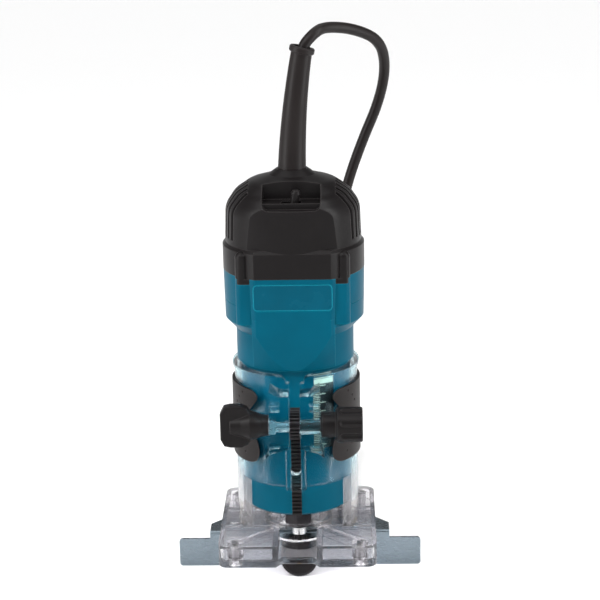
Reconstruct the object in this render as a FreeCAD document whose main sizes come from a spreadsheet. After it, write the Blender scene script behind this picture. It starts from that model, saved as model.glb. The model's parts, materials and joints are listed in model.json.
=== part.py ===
import FreeCAD, Part
import math
import os
import re

import Sketcher
from FreeCAD import Placement, Rotation, Vector

# A corded trim router, standing on its straight guide. Millimetres, +Z up.
# The spindle runs up the Z axis, the clamp and the knobs face -Y, and Z = 0 is the surface it stands on.

doc = FreeCAD.newDocument("TrimRouter")

# ---------------------------------------------------------------- driving dimensions

SIZES = {
    # base: the clear holder and its sole
    "base_z": 22,
    "base_width": 90,
    "base_corner": 6,
    "sole_thick": 4,
    "deck_height": 12.8,
    "deck_skin": 2.2,
    "deck_wall": 2.4,
    "throat_radius": 17,
    "channel_half": 11,
    "screw_x": 35.5,
    "screw_y": 37.5,
    "insert_y": 38,
    # collar and its clamp
    "collar_radius": 35.3,
    "collar_bore": 31.35,
    "collar_low": 68,
    "collar_top": 132.3,
    "post_half": 17,
    "slot_half": 3.1,
    "slot_low": 75,
    "ear_outer": 13.9,
    "ear_front": 49,
    "ear_low": 94.5,
    "ear_top": 125.1,
    "knob_z": 105.7,
    "stud_radius": 3,
    "sleeve_radius": 4.5,
    # rack and pinion
    "rack_pitch": 2.3,
    "rack_width": 5.5,
    "rack_root": 31.3,
    "rack_tip": 32.9,
    "rack_seat": 30.3,
    "rack_low": 48.6,
    "rack_top": 113,
    "pinion_teeth": 21,
    "pinion_width": 5.6,
    "axis_y": 39.787,
    # motor housing
    "motor_low": 47.7,
    "motor_radius": 31.3,
    "motor_bore": 28.7,
    "step_z": 134,
    "neck_radius": 33.4,
    "neck_bore": 30.8,
    "cone_low": 153.2,
    "cone_top": 160.2,
    "housing_radius": 39.2,
    "housing_flat": 33,
    "housing_wall": 2.6,
    "parting_z": 187.5,
    "panel_half": 22,
    "panel_low": 169.6,
    "panel_top": 184.7,
    "band_top": 203.2,
    "cap_top": 240.6,
    "cap_radius": 39.9,
    "cap_front": 33.8,
    "cap_bow": 70,
    "cap_wall": 2.4,
    "pillar_x": 28,
    "pillar_y": 28.4,
    "pillar_radius": 3.6,
    "pillar_low": 161.4,
    "pillar_top": 199,
    "recess_half": 16,
    "recess_low": 225.6,
    "recess_back": 17,
    "lever_y": 24.5,
    "vent_width": 2.4,
    "vent_step": 4.6,
    # spindle and collet
    "shaft_radius": 6,
    "bearing_radius": 14,
    "bearing_low": 52,
    "bearing_width": 8,
    "shank_radius": 3,
    "nut_flats": 15,
    "nut_low": 29.4,
    "nut_top": 46.2,
    "collet_low": 24.2,
    # straight guide
    "guide_y": 7,
    "guide_thick": 1.6,
    "wing_half": 72,
    "wing_top": 17.3,
    "middle_half": 53.5,
    "flange_depth": 22,
    "arm_half": 10,
    "arm_back": 49.5,
    "guide_knob_radius": 10.9,
    # cord guard and cord
    "guard_lean": 1.6,
    "guard_lean_top": 10.1,
    "guard_length": 69.4,
    "cord_radius": 3.1,
    "clamp_low": 208,
    "hank_front": 94,
    "hank_run": 56,
}

sheet = doc.addObject("Spreadsheet::Sheet", "Sizes")
for row, (alias, size) in enumerate(SIZES.items(), start=1):
    sheet.set(f"A{row}", alias)
    sheet.set(f"B{row}", str(size))
    sheet.setAlias(f"B{row}", alias)
doc.recompute()

# ---------------------------------------------------------------- small helpers

ALIAS = re.compile("|".join(rf"\b{alias}\b" for alias in SIZES))
ALONG = {
    "x": Rotation(Vector(0, 1, 0), 90),
    "y": Rotation(Vector(1, 0, 0), -90),
    "z": Rotation(),
}
nodes = {}


def cells(text):
    """An expression in which each alias names its cell."""
    return ALIAS.sub(lambda found: "Sizes." + found.group(0), str(text))


def number(text):
    """The present value of such an expression."""
    return float(sheet.evalExpression(cells(text)))


def bind(item, **values):
    for name, text in values.items():
        item.setExpression(name, cells(text))


def place(item, x=0, y=0, z=0):
    for letter, text in zip("xyz", (x, y, z)):
        item.setExpression(f".Placement.Base.{letter}", cells(text))


def block(name, x, y, z):
    """A box from its low and high sides along each axis."""
    item = doc.addObject("Part::Box", name)
    for side, (low, high) in zip(("Length", "Width", "Height"), (x, y, z)):
        item.setExpression(side, cells(f"({high}) - ({low})"))
    place(item, x[0], y[0], z[0])
    return item


def rod(name, radius, start, length, along="z"):
    """A cylinder from the centre of its first end."""
    item = doc.addObject("Part::Cylinder", name)
    item.Placement = Placement(Vector(), ALONG[along])
    bind(item, Radius=radius, Height=length)
    place(item, *start)
    return item


def cone(name, first, last, start, length, along="z"):
    item = doc.addObject("Part::Cone", name)
    item.Placement = Placement(Vector(), ALONG[along])
    bind(item, Radius1=first, Radius2=last, Height=length)
    place(item, *start)
    return item


def ball(name, radius, centre):
    item = doc.addObject("Part::Sphere", name)
    bind(item, Radius=radius)
    place(item, *centre)
    return item


def fuse(name, *shapes):
    item = doc.addObject("Part::MultiFuse", name)
    item.Shapes = list(shapes)
    item.Refine = True
    return item


def cut(name, base, *tools):
    item = doc.addObject("Part::Cut", name)
    item.Base = base
    item.Tool = tools[0] if len(tools) == 1 else fuse(name + "_tools", *tools)
    item.Refine = True
    return item


def common(name, *shapes):
    item = doc.addObject("Part::MultiCommon", name)
    item.Shapes = list(shapes)
    return item


def group(name, *shapes):
    item = doc.addObject("Part::Compound", name)
    item.Links = list(shapes)
    return item


def ring(name, outer, inner, low, high):
    """A tube round the spindle axis."""
    length = f"({high}) - ({low})"
    return cut(
        name,
        rod(name + "_outer", outer, (0, 0, low), length),
        rod(name + "_inner", inner, (0, 0, f"({low}) - 1"), f"{length} + 2"),
    )


def rounded(name, base, radius, chosen):
    """Round the edges of base that the test picks."""
    doc.recompute()
    picked = [(i, radius, radius) for i, edge in enumerate(base.Shape.Edges, 1) if chosen(edge)]
    item = doc.addObject("Part::Fillet", name)
    item.Base = base
    item.Edges = picked
    return item


def upright(edge):
    """A straight edge along Z."""
    ends = [vertex.Point for vertex in edge.Vertexes]
    return len(ends) == 2 and (ends[0] - ends[1]).Length > 0.5 and abs((ends[0] - ends[1]).normalize().z) > 0.99


def outline(body, role, points, offset=0):
    """A closed sketch of straight lines, each corner bound to its own two expressions."""
    sketch = body.newObject("Sketcher::SketchObject", body.Name + "_outline")
    plane = next(f for f in body.Origin.OriginFeatures if f.Role == role)
    sketch.AttachmentSupport = [(plane, "")]
    sketch.MapMode = "FlatFace"
    sketch.setExpression(".AttachmentOffset.Base.z", cells(offset))
    corners = [Vector(number(x), number(y), 0) for x, y in points]
    count = len(corners)
    for i, corner in enumerate(corners):
        sketch.addGeometry(Part.LineSegment(corner, corners[(i + 1) % count]))
    for i in range(count):
        sketch.addConstraint(Sketcher.Constraint("Coincident", i, 2, (i + 1) % count, 1))
    for i, (x, y) in enumerate(points):
        for kind, text in (("DistanceX", x), ("DistanceY", y)):
            index = sketch.addConstraint(Sketcher.Constraint(kind, -1, 1, i, 1, number(text)))
            if isinstance(text, str):
                sketch.setExpression(f"Constraints[{index}]", cells(text))
    return sketch


def turned(name, points, along="z", at=(0, 0, 0)):
    """A body turned from a closed profile of (radius, height) points."""
    body = doc.addObject("PartDesign::Body", name)
    sketch = outline(body, "XZ_Plane", points)
    feature = body.newObject("PartDesign::Revolution", name + "_turn")
    feature.Profile = sketch
    feature.ReferenceAxis = (sketch, ["V_Axis"])
    feature.Angle = 360
    body.Placement = Placement(Vector(), ALONG[along])
    place(body, *at)
    return body


def padded(name, role, points, low, thick):
    """A plate: a closed outline on a plane, raised along the plane's normal from low."""
    body = doc.addObject("PartDesign::Body", name)
    sketch = outline(body, role, points, low)
    feature = body.newObject("PartDesign::Pad", name + "_pad")
    feature.Profile = sketch
    bind(feature, Length=thick)
    return body


def ring_pattern(body, feature, count, role="Z_Axis"):
    """Repeat a feature of a body round one of its axes."""
    pattern = body.newObject("PartDesign::PolarPattern", feature.Name + "_all")
    pattern.Originals = [feature]
    axis = next(f for f in body.Origin.OriginFeatures if f.Role == role)
    pattern.Axis = (axis, [""])
    pattern.Angle = 360
    pattern.Occurrences = count
    body.Tip = pattern
    return pattern


def made(name, shape):
    """A feature whose shape is worked out here."""
    item = doc.addObject("Part::Feature", name)
    item.Shape = shape
    return item


def node(name, item):
    """Give a finished sub-part the name of its file."""
    item.Label = name
    nodes[name] = item
    return item


# ---------------------------------------------------------------- base holder

def deck():
    """The ribbed deck that the sole screws onto, open below."""
    half = "base_width / 2"
    low = "base_z + sole_thick"
    top = "base_z + deck_height"
    body = block("deck_block", (f"-{half}", half), (f"-{half}", half), (low, top))
    body = rounded("deck_round", body, SIZES["base_corner"], upright)
    inner = f"{half} - deck_wall"
    hollow = block(
        "deck_hollow", (f"-({inner})", inner), (f"-({inner})", inner), (f"{low} - 1", f"{top} - deck_skin")
    )
    hollow = rounded("deck_hollow_round", hollow, SIZES["base_corner"] - SIZES["deck_wall"], upright)
    shell = cut("deck_shell", body, hollow)
    below = (low, f"{top} - deck_skin / 2")
    ribs = []
    for side in (-1, 1):
        edge = f"{side} * channel_half"
        wall = sorted((edge, f"{side} * (channel_half + 3.2)"), key=number)
        ribs.append(block(f"channel_wall_{side + 1}", wall, (f"-{half} + 1", "0"), (low, f"{top}")))
        for end in (-1, 1):
            at = (f"{side} * screw_x", f"{end} * screw_y", low)
            ribs.append(rod(f"boss_{side + 1}_{end + 1}", 4.6, at, "deck_height - sole_thick"))
            rib = block(f"diagonal_{side + 1}_{end + 1}", ("-14", "14"), ("-1", "1"), below)
            rib.Placement.Rotation = Rotation(Vector(0, 0, 1), 45 * side * end)
            rib.setExpression(".Placement.Base.x", cells(f"{side} * 24 - 9.2"))
            rib.setExpression(".Placement.Base.y", cells(f"{end} * 25.5 - {side * end} * 10.6"))
            ribs.append(rib)
    for y in (-14, 14):
        ribs.append(block(f"cross_rib_{y + 14}", (f"-{half} + 1", f"{half} - 1"), (y - 1, y + 1), below))
    ribs.append(ring("throat_ridge", "throat_radius + 2.6", "throat_radius", low, f"{top} + 1.4"))
    ribs.append(rod("insert_boss", 6, (0, "insert_y", low), "deck_height - sole_thick"))
    return fuse("deck_ribbed", shell, *ribs)


def collar():
    """Collar, posts, clamp ears and the tongue round the foot of the slot."""
    deck_top = "base_z + deck_height"
    parts = [
        rod("collar_tube", "collar_radius", (0, 0, "collar_low"), "collar_top - collar_low"),
        rod("collar_rim", "collar_radius + 0.9", (0, 0, "collar_top - 2"), 2),
        cone("collar_foot", "collar_radius - 1.5", "collar_radius", (0, 0, "collar_low - 2"), 2.01),
    ]
    column = rod("post_tube", "collar_radius", (0, 0, f"{deck_top} - 1"), f"collar_low - ({deck_top}) + 2")
    for side in (-1, 1):
        span = sorted((f"{side} * 26", f"{side} * 40"), key=number)
        window = block(
            f"post_window_{side + 1}", span, ("-post_half", "post_half"), (f"{deck_top} - 1", "collar_low + 1")
        )
        parts.append(common(f"post_{side + 1}", column, window))
        web = sorted((f"{side} * 34", f"{side} * 39.5"), key=number)
        for y in (-1, 1):
            parts.append(
                block(
                    f"post_web_{side + 1}_{y + 1}",
                    web,
                    (f"{y} * 11 - 1", f"{y} * 11 + 1"),
                    (f"{deck_top} - 1", f"{deck_top} + 9"),
                )
            )
        parts.append(
            padded(
                f"ear_{side + 1}",
                "XZ_Plane",
                [
                    (f"{side} * slot_half", "ear_low"),
                    (f"{side} * (ear_outer - 1)", "ear_low - 2.6"),
                    (f"{side} * (ear_outer + 2.4)", "ear_low - 5"),
                    (f"{side} * ear_outer", "ear_low"),
                    (f"{side} * ear_outer", "ear_top + 3"),
                    (f"{side} * (ear_outer - 4.6)", "ear_top + 0.2"),
                    (f"{side} * slot_half", "ear_top"),
                ],
                24,
                "ear_front - 24",
            )
        )
    tongue = block("tongue", ("-slot_half - 2.7", "slot_half + 2.7"), ("-38.6", "-25"), ("66", "collar_low + 30"))
    parts.append(
        rounded("tongue_round", tongue, 2, lambda e: upright(e) and e.CenterOfMass.y < -30)
    )
    return fuse("collar_outside", *parts)


def scale_strip(name, thick, grow):
    """The place of the printed depth scale, let into the collar's bore beside the right ear."""
    inner = "collar_bore - 1" if grow else "collar_bore + 0.05"
    window = block(
        f"{name}_window", (f"10.4 - {grow}", f"20.4 + {grow}"), (-40, -20), (f"88 - {grow}", f"130 + {grow}")
    )
    return common(name, ring(f"{name}_ring", f"collar_bore + {thick}", inner, 86, 131), window)


def base_holder():
    both = fuse("holder_outside", deck(), collar())
    arc_z = "slot_low + slot_half"
    tools = [
        rod("motor_bore_cut", "collar_bore", (0, 0, "base_z + deck_height + 1.5"), 200),
        rod("throat_cut", "throat_radius", (0, 0, "base_z"), 40),
        block("slot_cut", ("-slot_half", "slot_half"), ("-60", "-20"), (arc_z, "collar_top + 1")),
        rod("slot_arc_cut", "slot_half", (0, -60, arc_z), 40, "y"),
        block("rack_way_cut", ("-slot_half", "slot_half"), ("-33.2", "-20"), ("60", "collar_top + 1")),
        block(
            "channel_cut",
            ("-channel_half", "channel_half"),
            ("-base_width / 2 - 1", "0"),
            ("base_z", "base_z + deck_height + 1"),
        ),
        rod("stud_bore", "stud_radius + 0.05", (-20, "-axis_y", "knob_z"), 20, "x"),
        block("stud_square", (-15, -10.5), ("-axis_y - 3.6", "-axis_y + 3.6"), ("knob_z - 3.6", "knob_z + 3.6")),
        rod("sleeve_bore", "sleeve_radius + 0.05", (0, "-axis_y", "knob_z"), 20, "x"),
        rod("insert_bore", 4.2, (0, "insert_y", "base_z"), "deck_height - 1"),
    ]
    mouth = block(
        "slot_mouth_block", ("-slot_half - 5.4", "slot_half + 5.4"), ("-60", "-20"), ("collar_top - 3.4", 133)
    )
    corners = [
        rod(f"slot_corner_{side + 1}", 3.4, (f"{side} * (slot_half + 5.4)", -60, "collar_top - 3.4"), 40, "y")
        for side in (-1, 1)
    ]
    tools.append(cut("slot_mouth", mouth, *corners))
    tools.append(block("slot_ledge", ("-slot_half - 2", "slot_half + 2"), ("-60", "-20"), ("collar_top - 4.2", 133)))
    tools.append(scale_strip("scale_seat", 0.42, 0.05))
    for side in (-1, 1):
        pocket = sorted((f"{side} * 8.2", f"{side} * 16"), key=number)
        for level in (-1, 1):
            for bar in (0, 3.4):
                low = f"knob_z + {level} * 10.6 - 0.8 + {bar * level}"
                tools.append(block(f"ear_pocket_{side + 1}_{level + 1}_{bar * 10:.0f}", pocket,
                                   ("-ear_front + 3", "-ear_front + 10"), (low, f"{low} + 1.6")))
        for end in (-1, 1):
            at = (f"{side} * screw_x", f"{end} * screw_y", "base_z")
            tools.append(rod(f"screw_bore_{side + 1}_{end + 1}", 2, at, "deck_height - 1.8"))
    return cut("holder", both, *tools)


def sole_plate():
    half = "base_width / 2"
    plate = block("sole_block", (f"-{half}", half), (f"-{half}", half), ("base_z", "base_z + sole_thick"))
    plate = rounded("sole_round", plate, SIZES["base_corner"], upright)
    tools = [
        rod("sole_throat", "throat_radius - 1", (0, 0, "base_z - 1"), "sole_thick + 2"),
        rod("sole_insert_hole", 6.2, (0, "insert_y", "base_z - 1"), "sole_thick + 2"),
        padded(
            "sole_notch",
            "XY_Plane",
            [("-13", f"-{half} - 1"), ("13", f"-{half} - 1"), ("9", f"-{half} + 5"), ("-9", f"-{half} + 5")],
            "base_z - 1",
            "sole_thick + 2",
        ),
    ]
    for x in (-1, 1):
        for y in (-1, 1):
            at = (f"{x} * screw_x", f"{y} * screw_y", "base_z - 1")
            tools.append(rod(f"sole_hole_{x + 1}_{y + 1}", 2, at, "sole_thick + 2"))
            at = (at[0], at[1], "base_z")
            tools.append(cone(f"sole_sink_{x + 1}_{y + 1}", 4.2, 2, at, 2.2))
    return cut("sole", plate, *tools)


def sole_screws():
    """Four countersunk screws with crossed recesses, driven up from below."""
    screws = []
    for x in (-1, 1):
        for y in (-1, 1):
            tag = f"{x + 1}_{y + 1}"
            at = (f"{x} * screw_x", f"{y} * screw_y", "base_z")
            head = cone(f"sole_head_{tag}", 4.2, 2, at, 2.2)
            stem = rod(f"sole_stem_{tag}", 2, at, "deck_height - 1.8")
            slots = [
                block(f"sole_cross_a_{tag}", (f"{at[0]} - 2.2", f"{at[0]} + 2.2"),
                      (f"{at[1]} - 0.5", f"{at[1]} + 0.5"), ("base_z - 1", "base_z + 1.4")),
                block(f"sole_cross_b_{tag}", (f"{at[0]} - 0.5", f"{at[0]} + 0.5"),
                      (f"{at[1]} - 2.2", f"{at[1]} + 2.2"), ("base_z - 1", "base_z + 1.4")),
            ]
            screws.append(cut(f"sole_screw_{tag}", fuse(f"sole_blank_{tag}", head, stem), *slots))
    return group("sole_screw_set", *screws)


node("base_holder", base_holder())
node("depth_scale", scale_strip("scale", 0.37, 0))
node("sole_plate", sole_plate())
node("sole_screws", sole_screws())
node(
    "brass_insert",
    cut(
        "insert",
        rod("insert_outside", 4.2, (0, "insert_y", "base_z + 0.4"), "deck_height - 1.4"),
        rod("insert_thread", "stud_radius + 0.03", (0, "insert_y", "base_z - 1"), "deck_height + 2"),
    ),
)


# ---------------------------------------------------------------- grips on the collar

GRIP_EDGE = [
    (42, 122.3), (34, 122.4), (27.5, 122.2), (22.9, 121.1), (21.1, 118.4), (22.6, 115), (25.4, 110.8),
    (29.6, 104.7), (26.2, 98.4), (22.2, 93.4), (20.8, 88.6), (21, 83.4), (23, 80.2), (26.4, 78.8), (30, 78.6),
]
DIMPLES = [(54, 119.5), (60.5, 115.9), (65, 112.2), (52, 83.9), (59, 87.4), (64, 91.2)]


def grip(side):
    """A rubber pad over one side of the collar, waisted at the knobs' height, with a row of dimples."""
    inner = SIZES["collar_radius"]
    outer = inner + 1.5
    curve = Part.BSplineCurve()
    curve.interpolate([Vector(side * x, 0, z) for x, z in GRIP_EDGE])
    corner = Vector(side * GRIP_EDGE[0][0], 0, GRIP_EDGE[-1][1])
    edges = [
        curve.toShape(),
        Part.LineSegment(curve.EndPoint, corner).toShape(),
        Part.LineSegment(corner, curve.StartPoint).toShape(),
    ]
    face = Part.Face(Part.Wire(Part.__sortEdges__(edges)))
    prism = face.extrude(Vector(0, 80, 0))
    prism.translate(Vector(0, -40, 0))
    tube = Part.makeCylinder(outer, 80, Vector(0, 0, 60)).cut(Part.makeCylinder(inner, 80, Vector(0, 0, 60)))
    pad = prism.common(tube)
    reach = outer + 0.4
    for degrees, height in DIMPLES:
        turn = math.radians(degrees)
        centre = Vector(side * reach * math.sin(turn), -reach * math.cos(turn), height)
        pad = pad.cut(Part.makeSphere(0.95, centre))
    return pad


node("left_grip", made("grip_left", grip(-1)))
node("right_grip", made("grip_right", grip(1)))


# ---------------------------------------------------------------- clamp and depth knob

def clamp_stud():
    axis = ("-axis_y", "knob_z")
    return fuse(
        "stud",
        rod("stud_shank", "stud_radius", (-32, *axis), 65, "x"),
        rod("stud_head", 5.2, (31, *axis), 3, "x"),
        block(
            "stud_neck",
            ("-ear_outer + 0.1", -10.5),
            ("-axis_y - 3.55", "-axis_y + 3.55"),
            ("knob_z - 3.55", "knob_z + 3.55"),
        ),
    )


def clamp_knob():
    """A flat paddle on a tapered neck, threaded onto the stud."""
    corners = [
        (-41.6, 7.5), (-39.5, 11.4), (-36, 12.2), (-30, 12.2), (-26.4, 10.6), (-24, 6.4),
        (-24, -6.4), (-26.4, -10.6), (-30, -12.2), (-36, -12.2), (-39.5, -11.4), (-41.6, -7.5),
    ]
    paddle = padded("paddle", "XZ_Plane", corners, "-3.4", 6.8)
    place(paddle, 0, "-axis_y", "knob_z")
    paddle = rounded("paddle_soft", paddle, 1.1, lambda e: abs(abs(e.CenterOfMass.y + SIZES["axis_y"]) - 3.4) < 0.01)
    neck = turned(
        "neck",
        [
            (0, "-ear_outer - 0.7"), (5.7, "-ear_outer - 0.7"), (6.3, -18.5), (7.6, -22), (8.4, -25),
            (6.4, -30), (5, -36), (0, -36),
        ],
        "x",
        (0, "-axis_y", "knob_z"),
    )
    bore = rod("clamp_thread", "stud_radius + 0.02", (-33, "-axis_y", "knob_z"), 30, "x")
    return cut("clamp_handle", fuse("clamp_blank", paddle, neck), bore)


def depth_knob():
    """A fluted knob on a plain hub, pressed on the pinion's sleeve."""
    body = turned(
        "knob_turned",
        [
            (0, "ear_outer + 0.7"), (6.6, "ear_outer + 0.7"), (7.1, "ear_outer + 1.2"), (7.1, 22.6), (8.7, 22.6),
            (9.9, 23.8), (9.9, 37), (9.2, 37.7), (0, 37.7),
        ],
        "x",
        (0, "-axis_y", "knob_z"),
    )
    tools = [
        rod("knob_sleeve_bore", "sleeve_radius", (14, "-axis_y", "knob_z"), 10, "x"),
        rod("knob_stud_bore", "stud_radius + 0.03", (14, "-axis_y", "knob_z"), 21, "x"),
        rod("knob_head_bore", 5.3, (30.9, "-axis_y", "knob_z"), 10, "x"),
    ]
    for flute in range(8):
        angle = math.radians(45 * flute + 22.5)
        y = f"-axis_y + 11.2 * {math.cos(angle):.6f}"
        z = f"knob_z + 11.2 * {math.sin(angle):.6f}"
        tools.append(rod(f"flute_{flute}", 2.4, (27, y, z), 12, "x"))
        tools.append(ball(f"flute_start_{flute}", 2.4, (27, y, z)))
    return cut("depth_handle", body, *tools)


def pinion():
    """The pinion and its hollow sleeve; one tooth points at the rack."""
    pitch = number("rack_pitch * pinion_teeth / (2 * pi)")
    root, tip, half = pitch - 0.95, pitch + 0.6, SIZES["rack_pitch"] * 0.21
    gear = doc.addObject("PartDesign::Body", "pinion_body")
    sketch = gear.newObject("Sketcher::SketchObject", "pinion_disc")
    sketch.AttachmentSupport = [(next(f for f in gear.Origin.OriginFeatures if f.Role == "XY_Plane"), "")]
    sketch.MapMode = "FlatFace"
    sketch.addGeometry(Part.Circle(Vector(), Vector(0, 0, 1), root))
    sketch.addConstraint(Sketcher.Constraint("Coincident", 0, 3, -1, 1))
    radius = sketch.addConstraint(Sketcher.Constraint("Radius", 0, root))
    sketch.setExpression(f"Constraints[{radius}]", cells("rack_pitch * pinion_teeth / (2 * pi) - 0.95"))
    disc = gear.newObject("PartDesign::Pad", "pinion_blank")
    disc.Profile = sketch
    bind(disc, Length="pinion_width")
    tooth_points = [(root - 0.3, -half - 0.25), (root, -half - 0.2), (tip, -half + 0.28),
                    (tip, half - 0.28), (root, half + 0.2), (root - 0.3, half + 0.25)]
    tooth = gear.newObject("PartDesign::Pad", "pinion_tooth")
    tooth.Profile = outline(gear, "XY_Plane", tooth_points)
    bind(tooth, Length="pinion_width")
    ring_pattern(gear, tooth, SIZES["pinion_teeth"])
    upright_turn = Placement(Vector(), Rotation(Vector(0, 1, 0), 90))
    gear.Placement = upright_turn.multiply(Placement(Vector(), Rotation(Vector(0, 0, 1), 90)))
    place(gear, "-pinion_width / 2", "-axis_y", "knob_z")
    sleeve = rod("pinion_sleeve", "sleeve_radius", ("pinion_width / 2 - 0.5", "-axis_y", "knob_z"), 21.7, "x")
    bore = rod("pinion_bore", "stud_radius + 0.03", (-10, "-axis_y", "knob_z"), 40, "x")
    return cut("pinion_whole", fuse("pinion_solid", gear, sleeve), bore)


node("clamp_stud", clamp_stud())
node(
    "clamp_washer",
    cut(
        "washer",
        rod("washer_disc", 5.4, ("-ear_outer - 0.7", "-axis_y", "knob_z"), 0.7, "x"),
        rod("washer_hole", "stud_radius + 0.1", (-16, "-axis_y", "knob_z"), 4, "x"),
    ),
)
node("clamp_knob", clamp_knob())
node("depth_knob", depth_knob())
node("depth_knob_cap", rod("knob_plug", 5.3, (34.6, "-axis_y", "knob_z"), 3, "x"))
node("pinion", pinion())


# ---------------------------------------------------------------- straight guide

def guide_plate():
    """A face plate with two wings; its middle is bent back into a flange under the base."""
    rear = "guide_y + guide_thick"
    wings = block("wings", ("-wing_half", "wing_half"), ("guide_y", rear), (0, "wing_top"))
    wings = rounded("wings_round", wings, 2, lambda e: abs(abs(e.CenterOfMass.x) - SIZES["wing_half"]) < 0.01
                    and abs(e.CenterOfMass.y - number("guide_y + guide_thick / 2")) < 0.01)
    middle = block(
        "guide_middle", ("-middle_half", "middle_half"), ("guide_y", rear), ("wing_top - 2", "base_z - 0.1")
    )
    flange = padded(
        "guide_flange",
        "XY_Plane",
        [
            ("-middle_half", "guide_y"), ("middle_half", "guide_y"), ("middle_half", "guide_y + 12"),
            ("middle_half - 9", "guide_y + flange_depth"), ("-middle_half + 9", "guide_y + flange_depth"),
            ("-middle_half", "guide_y + 12"),
        ],
        "base_z - 0.1 - guide_thick",
        "guide_thick",
    )
    bent = rounded("guide_bend", fuse("guide_bent", middle, flange), 1.5,
                   lambda e: abs(e.CenterOfMass.y - SIZES["guide_y"]) < 0.01
                   and abs(e.CenterOfMass.z - number("base_z - 0.1")) < 0.01)
    tools = [
        block("guide_way", ("-stud_radius - 0.2", "stud_radius + 0.2"), ("insert_y - 25.2", "guide_y + 40"), (17, 23)),
        rod("guide_stud_hole", "stud_radius + 0.1", (0, 0, "guide_knob_radius"), 20, "y"),
    ]
    return cut("guide_sheet", fuse("guide_all", wings, bent), *tools)


def guide_arm():
    """A slotted strip under the base with a tab that backs the face plate."""
    low = "base_z - 0.15 - 2 * guide_thick"
    front = "guide_y + guide_thick + 0.05"
    strip = block("arm_strip", ("-arm_half", "arm_half"), (front, "arm_back"), (low, f"{low} + guide_thick"))
    tab = block("arm_tab", ("-arm_half", "arm_half"), (front, f"{front} + guide_thick"), (3, f"{low} + 1"))
    lip = block(
        "arm_lip", ("-arm_half", "arm_half"), ("arm_back", "arm_back + guide_thick"), (8, f"{low} + guide_thick")
    )
    tools = [
        block("arm_way", ("-stud_radius - 0.2", "stud_radius + 0.2"), ("insert_y - 25.2", "insert_y + 3.3"), (10, 23)),
        rod("arm_stud_hole", "stud_radius + 0.1", (0, 0, "guide_knob_radius"), 20, "y"),
    ]
    return cut("arm", fuse("arm_bent", strip, tab, lip), *tools)


def guide_knob():
    """A knurled knob threaded onto the guide's stud."""
    radius = "guide_knob_radius"
    knob = doc.addObject("PartDesign::Body", "guide_knob_body")
    profile = [
        (0, -11), (f"{radius} - 2.2", -11), (f"{radius} - 0.2", -9.6), (radius, -9), (radius, 1.4),
        (f"{radius} - 0.6", 2), (7, 2), (6.2, 5.5), (0, 5.5),
    ]
    turn = knob.newObject("PartDesign::Revolution", "guide_knob_turn")
    turn.Profile = outline(knob, "XZ_Plane", profile)
    turn.ReferenceAxis = (turn.Profile[0], ["V_Axis"])
    turn.Angle = 360
    groove = knob.newObject("PartDesign::Pocket", "knurl")
    groove.Profile = outline(
        knob,
        "XY_Plane",
        [(f"{radius} - 0.75", "0"), (f"{radius} + 0.4", "-0.75"), (f"{radius} + 0.4", "0.75")],
        -12,
    )
    groove.Length = 30
    groove.Reversed = True
    ring_pattern(knob, groove, 40)
    knob.Placement = Placement(Vector(), ALONG["y"])
    place(knob, 0, 0, radius)
    bore = rod("guide_thread", "stud_radius + 0.02", (0, -9.5, radius), 20, "y")
    return cut("guide_handle", knob, bore)


def thumb_screw():
    """The screw that clamps the arm against the underside of the base."""
    low = "base_z - 0.2 - 2 * guide_thick"
    body = turned(
        "thumb_turned",
        [
            (0, "base_z + deck_height - 2"), ("stud_radius", "base_z + deck_height - 2"), ("stud_radius", low),
            (8, low), (8, f"{low} - 1.5"), (7.4, f"{low} - 2"), (7.4, f"{low} - 8"), (6.6, f"{low} - 9"),
            (0, f"{low} - 9"),
        ],
        "z",
        (0, "insert_y", 0),
    )
    notches = []
    for i in range(12):
        angle = math.radians(30 * i)
        at = (f"8.1 * {math.cos(angle):.6f}", f"insert_y + 8.1 * {math.sin(angle):.6f}", f"{low} - 10")
        notches.append(rod(f"thumb_notch_{i}", 1.3, at, 8.2))
    return cut("thumb", body, *notches)


node("guide_plate", guide_plate())
node("guide_arm", guide_arm())
node(
    "guide_stud",
    fuse(
        "guide_bolt",
        rod("guide_bolt_shank", "stud_radius", (0, -8.5, "guide_knob_radius"), "guide_y + 12.6", "y"),
        rod("guide_bolt_head", 5.4, (0, "guide_y + 2 * guide_thick + 0.05", "guide_knob_radius"), 2.2, "y"),
    ),
)
node(
    "guide_washer",
    cut(
        "guide_disc",
        rod("guide_disc_outside", 6.5, (0, 5.6, "guide_knob_radius"), "guide_y - 5.6", "y"),
        rod("guide_disc_hole", "stud_radius + 0.1", (0, 5, "guide_knob_radius"), 3, "y"),
    ),
)
node("guide_knob", guide_knob())
node("thumb_screw", thumb_screw())


# ---------------------------------------------------------------- motor housing

CORNERS = [(x, y) for x in (-1, 1) for y in (-1, 1)]


def on_guard(distance):
    """The placement at a distance along the cord guard's bent axis, with +Z along the axis."""
    low = math.radians(SIZES["guard_lean"])
    bend = SIZES["guard_length"] / (math.radians(SIZES["guard_lean_top"]) - low)
    foot = Vector(0, 0, SIZES["cap_top"] + 1)
    if distance <= 0:
        lean = low
        point = foot + Vector(math.sin(low), 0, math.cos(low)) * distance
    else:
        lean = low + distance / bend
        point = foot + Vector(math.cos(low) - math.cos(lean), 0, math.sin(lean) - math.sin(low)) * bend
    return Placement(point, Rotation(Vector(0, 1, 0), math.degrees(lean)))


def leaned(item, distance, tilt=0):
    """Move an item from the origin to a distance along the guard's axis."""
    for letter in "xyz":
        item.setExpression(f".Placement.Base.{letter}", None)
    item.Placement = on_guard(distance).multiply(Placement(Vector(), Rotation(Vector(0, 1, 0), tilt)))
    return item


def flattened(name, low_radius, top_radius, flat, low, top):
    """A drum that tapers upwards, with a flat front and back."""
    length = f"({top}) - ({low})"
    drum = cone(name + "_drum", low_radius, top_radius, (0, 0, low), length)
    slab = block(name + "_slab", (-60, 60), (f"-({flat})", flat), (low, top))
    return common(name, drum, slab)


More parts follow.
